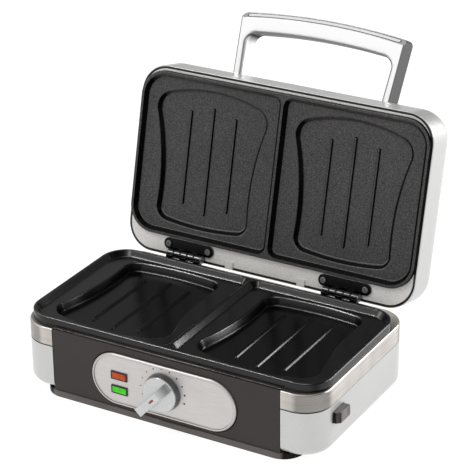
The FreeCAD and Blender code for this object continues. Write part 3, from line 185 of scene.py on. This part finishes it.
    rough = look["roughness"]
    wander = look.get("roughnessSpread", recipe["roughnessSpread"])
    gloss = addNode(tree, "ShaderNodeMapRange",
                    {**noiseRange, "To Min": rough - wander, "To Max": rough + wander},
                    {"Value": grain}).outputs["Result"]
    tree.links.new(gloss, shader.inputs["Roughness"])
    depth = look.get("reliefDepth", recipe["reliefDepth"]) * mm
    relief = addNode(tree, "ShaderNodeBump", {"Strength": look["relief"], "Distance": depth},
                     {"Height": grain})
    if "edge" in look:
        edge = addNode(tree, "ShaderNodeBevel",
                       {"samples": recipe["edgeSamples"], "Radius": look["edge"] * mm}).outputs["Normal"]
        tree.links.new(edge, relief.inputs["Normal"])
    tree.links.new(relief.outputs["Normal"], shader.inputs["Normal"])
    if look.get("brushed"):
        along = addNode(tree, "ShaderNodeTangent",
                        {"direction_type": "RADIAL", "axis": "Z"}).outputs["Tangent"]
        tree.links.new(along, shader.inputs["Tangent"])
    for socket, value in look["sockets"].items():
        shader.inputs[socket].default_value = value
    return material


# Ways that faces look. The lid leans back on its stop, so it has ways of its own.
toRight = (1, 0, 0)
toLeft = (-1, 0, 0)
toFront = (0, -1, 0)
toRear = (0, 1, 0)
upward = (0, 0, 1)
downward = (0, 0, -1)
lidFront = (0, -0.972, 0.235)
lidUp = (0, 0.235, 0.972)
lidDown = (0, -0.24, -0.97)
corners = [(x, y, 0) for x in (-0.707, 0.707) for y in (-0.707, 0.707)]

# Painted shade: a dark line at the seam between the stainless band and the shell under it, fainter on the
# sides.
seam = {"by": "place", "way": upward, "at": 48.5 * mm, "half": 0.75 * mm, "tone": 0.08, "faint": toRight}

# ABS moulding with a silver metallic paint: a light even grey with a trace of sparkle and a soft sheen, with
# painted shade along the seam, in gaps and on the lid's lip.
silverPaintedAbs = finish("silverPaintedAbs", {
    "dark": "#BEBEBD", "light": "#C7C7C6", "grain": 0.9, "cloud": 70, "cloudAmount": 0.02,
    "roughness": 0.34, "roughnessSpread": 0.03, "relief": 0.02, "edge": 0.5, "gapShade": 1.5,
    "paintedShading": [
        seam,
        # painted shade: the lid's flat lip goes near black, as in the shadow of its gap
        {"by": "facing", "way": lidFront, "from": 0.985, "to": 0.997, "tone": 0.05},  # the lid's lip
    ],
    "sockets": {"Metallic": 0.5, "Coat Weight": 0.2, "Coat Roughness": 0.1},
})
# Lacquered ABS of the handle: brighter and glossier than the housing, with painted shade greying its outer
# sides, the underside of the grip, the inner edges of its legs and its gaps.
silverLacqueredAbs = finish("silverLacqueredAbs", {
    "dark": "#FAFAFA", "light": "#FFFFFF", "grain": 0.9, "cloud": 60, "cloudAmount": 0.01,
    "roughness": 0.24, "roughnessSpread": 0.02, "relief": 0.01, "edge": 0.4, "gapShade": 1.5,
    "paintedShading": [
        # painted shade: under the grip, on the outside of the legs, and as dark lines along their inner edges
        {"by": "facing", "way": lidDown, "from": 0.05, "to": 0.6, "tone": 0.28},  # under the grip
        {"by": "outward", "way": toRight, "from": 2 * mm, "to": 12 * mm, "tone": 0.2},  # outside of the legs
        {"by": "outward", "way": toRight, "at": -42 * mm, "half": 14 * mm, "tone": 0.35},  # their inner edges
    ],
    "sockets": {"Metallic": 0.6, "Specular Tint": linear("#303030")},
})
# Stainless sheet brushed along its length: long level streaks that draw reflections out upright.
brushedStainless = finish("brushedStainless", {
    "dark": "#B5AFAA", "light": "#CBC5C0", "grain": 0.8, "stretch": (0.02, 0.02, 1), "cloud": 26,
    "cloudStretch": (1, 1, 0.02), "cloudAmount": 0.14, "roughness": 0.3, "roughnessSpread": 0.05,
    "relief": 0.03, "edge": 0.4, "gapShade": 1.5, "brushed": True,
    # painted shade along the seam and in gaps; painted reflection: darker bands on the four corners
    "paintedShading": [seam] + [
        {"by": "facing", "way": way, "from": 0.74, "to": 0.84, "tone": 0.5} for way in corners
    ],
    "sockets": {"Metallic": 1.0, "Anisotropic": 0.7, "Anisotropic Rotation": 0.25},
})
# Rolled steel sheet with an aluminium coat: pale, matt, with a spangled grain.
aluminisedSteel = finish("aluminisedSteel", {
    "dark": "#CFCDCA", "light": "#E6E4E1", "grain": 1.1, "cloud": 30, "cloudAmount": 0.04,
    "roughness": 0.42, "roughnessSpread": 0.08, "relief": 0.08, "edge": 0.4,
    "sockets": {"Metallic": 0.15},
})
# Die-cast aluminium sprayed with a filled non-stick coat: charcoal, its sheen broken up by a fine grain, with
# painted shade on its walls and painted highlights on round edges.
sprayedNonStick = finish("sprayedNonStick", {
    "dark": "#040404", "light": "#4B4949", "grain": 0.95, "cloud": 50, "cloudAmount": 0.12,
    "fleck": "#5C5A5A", "fleckSize": 0.9, "fleckFrom": 0.63,
    "roughness": 0.4, "roughnessSpread": 0.08, "relief": 0.35, "reliefDepth": 0.06, "edge": 0.4,
    "paintedShading": [
        # painted shade: walls that look to the sides go near black
        {"by": "facing", "way": toRight, "from": 0.2, "to": 0.6, "tone": 0.05},  # side walls
        {"by": "facing", "way": toLeft, "from": 0.2, "to": 0.6, "tone": 0.05},
        # painted shade on walls that look up, and a painted highlight on the round edges above them
        {"by": "facing", "way": lidUp, "from": 0.4, "to": 0.7, "tone": 0.15},  # walls that look up
        {"by": "facing", "way": lidUp, "at": 0.22, "half": 0.16, "tone": 2.2},  # round edges above them
    ],
    "sockets": {"IOR": 1.42},
})
# The same coat baked glossier on the lower plate: black, with painted shade on its rear walls, rear corners,
# upright faces and recess floors, and painted highlights on its round top edges and rib sides.
# painted shade: rear walls, rear corners, near-upright faces and the recess floors below 66 mm darkened
rearWallShade = {"by": "facing", "way": (0, -0.92, 0.39), "from": 0.92, "to": 0.945, "tone": 0.25}
rearCornerShade = {"by": "facing", "from": 0.9, "to": 0.932, "tone": 0.25}
# painted highlights: the round top edges and the rib sides, brightened fivefold in colour and specular level
edgeHighlight = {"by": "facing", "way": (0, -0.667, 0.745), "at": 1.0, "half": 0.12, "tone": 5.0}
ribHighlight = {"by": "facing", "way": (0.81, 0, 0.59), "at": 1.0, "half": 0.02, "tone": 5.0}
recessFloorShade = {"by": "place", "way": upward, "from": 66 * mm, "to": 63.5 * mm, "tone": 0.5}
outerFaceShade = {"by": "facing", "way": upward, "from": 0.25, "to": 0.12, "tone": 0.8}
bakedNonStick = finish("bakedNonStick", {
    "dark": "#060606", "light": "#0C0B0B", "grain": 1.2, "cloud": 50, "cloudAmount": 0.08,
    "fleck": "#1C1B1B", "fleckSize": 1.3, "fleckFrom": 0.62,
    "roughness": 0.2, "roughnessSpread": 0.05, "relief": 0.3, "reliefDepth": 0.05, "edge": 2.0,
    "paintedShading": [
        rearWallShade, {**rearCornerShade, "way": (0.65, -0.65, 0.39)}, {**rearCornerShade, "way": (-0.65, -0.65, 0.39)},
        outerFaceShade, recessFloorShade, edgeHighlight, ribHighlight,
    ],
    "sockets": {"IOR": 1.5},
})
# Spark-eroded ABS in warm anthracite: nearly matt, with a fine even tooth, and painted shade in gaps.
texturedAbs = finish("texturedAbs", {
    "dark": "#211B18", "light": "#2B2421", "grain": 0.8, "cloud": 40, "cloudAmount": 0.15,
    "roughness": 0.42, "roughnessSpread": 0.04, "relief": 0.06, "edge": 0.4, "gapShade": 2.5,
    "sockets": {"IOR": 1.42},
})
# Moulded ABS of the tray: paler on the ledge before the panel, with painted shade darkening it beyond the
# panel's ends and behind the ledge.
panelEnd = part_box("front_panel")[1][0]
beyondPanelShade = {"by": "place", "from": panelEnd, "to": panelEnd + 3 * mm, "tone": 0.12}
shadedTrayAbs = finish("shadedTrayAbs", {
    "dark": "#4E4947", "light": "#57524F", "grain": 0.8, "cloud": 40, "cloudAmount": 0.15,
    "roughness": 0.42, "roughnessSpread": 0.04, "relief": 0.06, "edge": 0.4,
    "paintedShading": [
        {**beyondPanelShade, "way": toRight},
        {**beyondPanelShade, "way": toLeft},
        {"by": "place", "way": toRear, "from": -70 * mm, "to": -60 * mm, "tone": 0.12},  # behind the ledge
    ],
    "sockets": {"IOR": 1.42},
})
# Moulded black polypropylene: the edges shine a little, the faces stay matt.
mouldedBlack = finish("mouldedBlack", {
    "dark": "#0C0C0C", "light": "#141414", "grain": 0.8, "cloud": 30, "cloudAmount": 0.1,
    "roughness": 0.38, "roughnessSpread": 0.05, "relief": 0.08, "edge": 0.4,
    "sockets": {"IOR": 1.49},
})
# Buttons in the same moulded black, finely ribbed for the thumb: grey ribs, with painted shade darkening the
# front and underside.
ribbedBlack = finish("ribbedBlack", {
    "dark": "#2A2827", "light": "#7A7573", "grain": 0.9, "stretch": (1, 1, 0.06), "cloud": 8,
    "cloudAmount": 0.15, "roughness": 0.4, "roughnessSpread": 0.08, "relief": 0.6, "reliefDepth": 0.15,
    "edge": 0.5,
    "paintedShading": [
        {"by": "facing", "way": way, "from": 0.3, "to": 0.9, "tone": 0.12} for way in (toFront, downward)
    ],
    "sockets": {"IOR": 1.49},
})
# Stainless plate with a fine level brush: a satin sheen with faint streaks, and painted shade as a dark line
# along its edges.
brushedPlate = finish("brushedPlate", {
    "dark": "#C2BEBC", "light": "#CBC8C6", "grain": 0.7, "stretch": (0.05, 1, 1), "cloud": 35,
    "cloudAmount": 0.03, "roughness": 0.4, "roughnessSpread": 0.04, "relief": 0.03, "edge": 0.3, "rim": 0.5,
    "sockets": {"Metallic": 0.75},
})
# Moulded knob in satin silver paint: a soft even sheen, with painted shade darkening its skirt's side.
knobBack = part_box("temperature_knob")[1][1]
skirtShade = {"by": "place", "way": toRear, "tone": 0.25,
             "from": knobBack - 5.2 * mm, "to": knobBack - 3.6 * mm}
satinSilver = finish("satinSilver", {
    "dark": "#C4C5C5", "light": "#C9CACA", "grain": 2.0, "cloud": 20, "cloudAmount": 0.04,
    "roughness": 0.28, "roughnessSpread": 0.02, "relief": 0.0,
    "paintedShading": [skirtShade],
    "sockets": {"Metallic": 0.8},
})
# Signal red paint filled into the knob's slot: even and half matt.
redPaint = finish("redPaint", {
    "dark": "#8C1712", "light": "#A8231A", "grain": 0.6, "roughness": 0.4, "relief": 0.05, "edge": 0.1,
    "sockets": {"IOR": 1.5},
})
# Moulded polycarbonate lamp windows, tinted through and lit from behind: a glow that varies over the window.
redLens = finish("redPolycarbonate", {
    "dark": "#742004", "light": "#AA3C0A", "grain": 1.2, "cloud": 6, "cloudAmount": 0.3,
    "roughness": 0.3, "relief": 0.05, "edge": 0.4,
    "sockets": {"IOR": 1.3, "Emission Color": linear("#D25414"), "Emission Strength": 0.28},
})
greenLens = finish("greenPolycarbonate", {
    "dark": "#1E7A08", "light": "#2CA812", "grain": 1.2, "cloud": 6, "cloudAmount": 0.3,
    "roughness": 0.3, "relief": 0.05, "edge": 0.4,
    "sockets": {"IOR": 1.3, "Emission Color": linear("#58F020"), "Emission Strength": 0.35},
})
# Steel hinge leaves in stoved black enamel: deep black with sharp small lights.
blackEnamel = finish("blackEnamel", {
    "dark": "#040404", "light": "#080808", "grain": 1.2, "cloud": 15, "cloudAmount": 0.1,
    "roughness": 0.16, "roughnessSpread": 0.03, "relief": 0.05, "edge": 0.4,
    # painted shade: the lid leaves' flat faces dimmed in colour and reflection
    "paintedShading": [{"by": "facing", "way": lidFront, "from": 0.9, "to": 0.99, "tone": 0.15}],  # the lid leaves
    "sockets": {"IOR": 1.8},
})
# Zinc-plated screws: bluish grey metal, lightly hazed.
zincPlated = finish("zincPlated", {
    "dark": "#66686A", "light": "#85888A", "grain": 0.7, "cloud": 5, "cloudAmount": 0.1,
    "roughness": 0.3, "relief": 0.08, "edge": 0.25,
    "sockets": {"Metallic": 1.0},
})
# Satin-chromed ABS inlay: bright and hazed, so that it keeps the handle's tone between two dark lines of
# painted shade along its edges.
satinChrome = finish("satinChrome", {
    "dark": "#F0F0F1", "light": "#F6F6F7", "grain": 1.0, "cloud": 30, "cloudAmount": 0.02,
    "roughness": 0.34, "roughnessSpread": 0.02, "relief": 0.02, "edge": 0.15, "rim": 1.4,
    "sockets": {"Metallic": 0.15},
})
# Drawn steel heater tube, browned by heat: a dull brown metal.
brownedTube = finish("brownedTube", {
    "dark": "#4A4038", "light": "#6B6057", "grain": 1.5, "cloud": 25, "cloudAmount": 0.2,
    "roughness": 0.45, "relief": 0.1, "edge": 0.3,
    "sockets": {"Metallic": 0.8},
})
# Pressed steatite: chalky white, slightly glazed.
whiteCeramic = finish("whiteCeramic", {
    "dark": "#D9D4CA", "light": "#E9E5DD", "grain": 0.8, "cloud": 12, "cloudAmount": 0.05,
    "roughness": 0.5, "relief": 0.1, "edge": 0.4,
    "sockets": {"IOR": 1.6},
})
# Turned brass: warm yellow metal with a soft shine.
turnedBrass = finish("turnedBrass", {
    "dark": "#A88243", "light": "#C9A25C", "grain": 0.6, "cloud": 8, "cloudAmount": 0.08,
    "roughness": 0.3, "relief": 0.06, "edge": 0.2,
    "sockets": {"Metallic": 1.0},
})
# Screen-printed ink: flat matt black.
printInk = finish("printInk", {
    "dark": "#121213", "light": "#1A1A1B", "grain": 0.5, "roughness": 0.55, "relief": 0.02, "edge": 0.05,
    "sockets": {"IOR": 1.5},
})

# A piece has its slot's finish, unless it has one of its own.
slotFinish = {
    "silver_housing": silverPaintedAbs, "silver_handle": silverLacqueredAbs, "chrome_trim": satinChrome,
    "stainless": brushedStainless, "aluminised_steel": aluminisedSteel, "black_plastic": mouldedBlack,
    "panel_plastic": texturedAbs, "knob_plastic": satinSilver, "red_mark": redPaint, "red_lens": redLens,
    "green_lens": greenLens, "non_stick": sprayedNonStick, "heater_sheath": brownedTube,
    "black_hinge": blackEnamel, "plated_steel": zincPlated, "ceramic_white": whiteCeramic,
    "brass": turnedBrass,
}
nodeFinish = {
    "control_plate": brushedPlate, "lower_plate": bakedNonStick, "bottom_tray": shadedTrayAbs,
    "base_release_button": ribbedBlack, "lid_release_button": ribbedBlack,
}
for entry in frame["record"]["subparts"]:
    wanted = nodeFinish.get(entry["node"], slotFinish[entry["material_slot"]])
    for holder in cad[entry["node"]].material_slots:
        holder.material = wanted
print("finishes set")


def addPiece(name, shape, material, body):
    mesh = bpy.data.meshes.new(name)
    shape.to_mesh(mesh)
    shape.free()
    piece = bpy.data.objects.new(name, mesh)
    bpy.context.scene.collection.objects.link(piece)
    mesh.materials.append(material)
    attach(piece, body)


# Printed dots round the knob, growing towards the hot end: sizes in mm, angles in degrees.
dialDots = {"count": 11, "radius": 22.2, "from": 200, "to": -15, "small": 0.55, "large": 1.0,
            "centre": (0, -88.78, 34), "thick": 0.05, "taper": 0.9, "sides": 20}
shape = bmesh.new()
for index in range(dialDots["count"]):
    part = index / (dialDots["count"] - 1)
    angle = math.radians(dialDots["from"] + (dialDots["to"] - dialDots["from"]) * part)
    size = dialDots["small"] + (dialDots["large"] - dialDots["small"]) * part
    spot = Vector(dialDots["centre"]) + dialDots["radius"] * Vector((math.cos(angle), 0, math.sin(angle)))
    bmesh.ops.create_cone(shape, cap_ends=True, segments=dialDots["sides"],
                          radius1=size * mm, radius2=size * dialDots["taper"] * mm,
                          depth=dialDots["thick"] * mm,
                          matrix=Matrix.Translation(spot * mm) @ Matrix.Rotation(math.radians(90), 4, "X"))
addPiece("dialDots", shape, printInk, "base")
print("printed dots added")

# Camera solved from the photograph: place in metres, angles in degrees, lens and sensor in mm.
view = {"place": (0.81464, -1.37287, 0.89322), "yaw": 29.93, "pitch": -25.13, "roll": -0.6,
        "lens": 153.70, "sensor": 36}
yaw, pitch, roll = (math.radians(view[k]) for k in ("yaw", "pitch", "roll"))
ahead = Vector((-math.sin(yaw) * math.cos(pitch), math.cos(yaw) * math.cos(pitch), math.sin(pitch)))
right = ahead.cross(Vector((0, 0, 1))).normalized()
up = right.cross(ahead)
rolledRight = right * math.cos(roll) + up * math.sin(roll)
rolledUp = up * math.cos(roll) - right * math.sin(roll)
lens = bpy.data.cameras.new("photoCamera")
lens.lens = view["lens"]
lens.sensor_width = view["sensor"]
camera = bpy.data.objects.new("photoCamera", lens)
bpy.context.scene.collection.objects.link(camera)
turn = Matrix((rolledRight, rolledUp, -ahead)).transposed().to_4x4()
camera.matrix_world = Matrix.Translation(view["place"]) @ turn
bpy.context.scene.camera = camera

# White paper sweep under the object: matt, and lit evenly so that it stays white.
floorLook = {"colour": "#8A8A8A", "roughness": 0.9, "light": "#FFFFFF", "glow": 0.86,
             "radius": 25.0, "drop": 0.2 * mm, "sides": 64}
floorMesh = bpy.data.meshes.new("floor")
shape = bmesh.new()
bmesh.ops.create_circle(shape, cap_ends=True, segments=floorLook["sides"], radius=floorLook["radius"],
                        matrix=Matrix.Translation((0, 0, -floorLook["drop"])))
shape.to_mesh(floorMesh)
shape.free()
floor = bpy.data.objects.new("floor", floorMesh)
bpy.context.scene.collection.objects.link(floor)
paper = bpy.data.materials.new("whitePaper")
paper.use_nodes = True
paperShader = paper.node_tree.nodes["Principled BSDF"]
paperShader.inputs["Base Color"].default_value = linear(floorLook["colour"])
paperShader.inputs["Roughness"].default_value = floorLook["roughness"]
paperShader.inputs["Emission Color"].default_value = linear(floorLook["light"])
paperShader.inputs["Emission Strength"].default_value = floorLook["glow"]
floorMesh.materials.append(paper)

# Two soft boxes: places and sizes in metres.
softBoxes = {
    "keyBox": {"place": (-1.05, -0.75, 1.9), "aim": (0, 0, 0.12), "width": 0.6, "height": 0.45, "watts": 12},
    "rearBox": {"place": (1.35, 1.45, 0.8), "aim": (0, 0, 0.05), "width": 1.7, "height": 1.2, "watts": 34},
}
for name, box in softBoxes.items():
    lamp = bpy.data.lights.new(name, "AREA")
    lamp.shape = "RECTANGLE"
    lamp.size = box["width"]
    lamp.size_y = box["height"]
    lamp.energy = box["watts"]
    light = bpy.data.objects.new(name, lamp)
    bpy.context.scene.collection.objects.link(light)
    aimWay = Vector(box["aim"]) - Vector(box["place"])
    aimTurn = aimWay.to_track_quat("-Z", "Y").to_matrix().to_4x4()
    light.matrix_world = Matrix.Translation(box["place"]) @ aimTurn

# Room light: even and pale, brightest from the left and in front.
room = {"colour": "#FFFFFF", "bright": (-0.55, -0.83, 0.1), "from": -0.6, "to": 0.9,
        "low": 0.25, "high": 0.95}
world = bpy.data.worlds.new("studio")
bpy.context.scene.world = world
world.use_nodes = True
sky = world.node_tree
way = addNode(sky, "ShaderNodeTexCoord").outputs["Generated"]
towards = addNode(sky, "ShaderNodeVectorMath", {"operation": "DOT_PRODUCT", 1: room["bright"]},
                  {0: way}).outputs["Value"]
level = addNode(sky, "ShaderNodeMapRange",
                {"interpolation_type": "SMOOTHSTEP", "From Min": room["from"], "From Max": room["to"],
                 "To Min": room["low"], "To Max": room["high"]}, {"Value": towards}).outputs["Result"]
sky.links.new(level, sky.nodes["Background"].inputs["Strength"])
sky.nodes["Background"].inputs["Color"].default_value = linear(room["colour"])
bpy.context.scene.view_settings.view_transform = "Standard"
print("studio set")
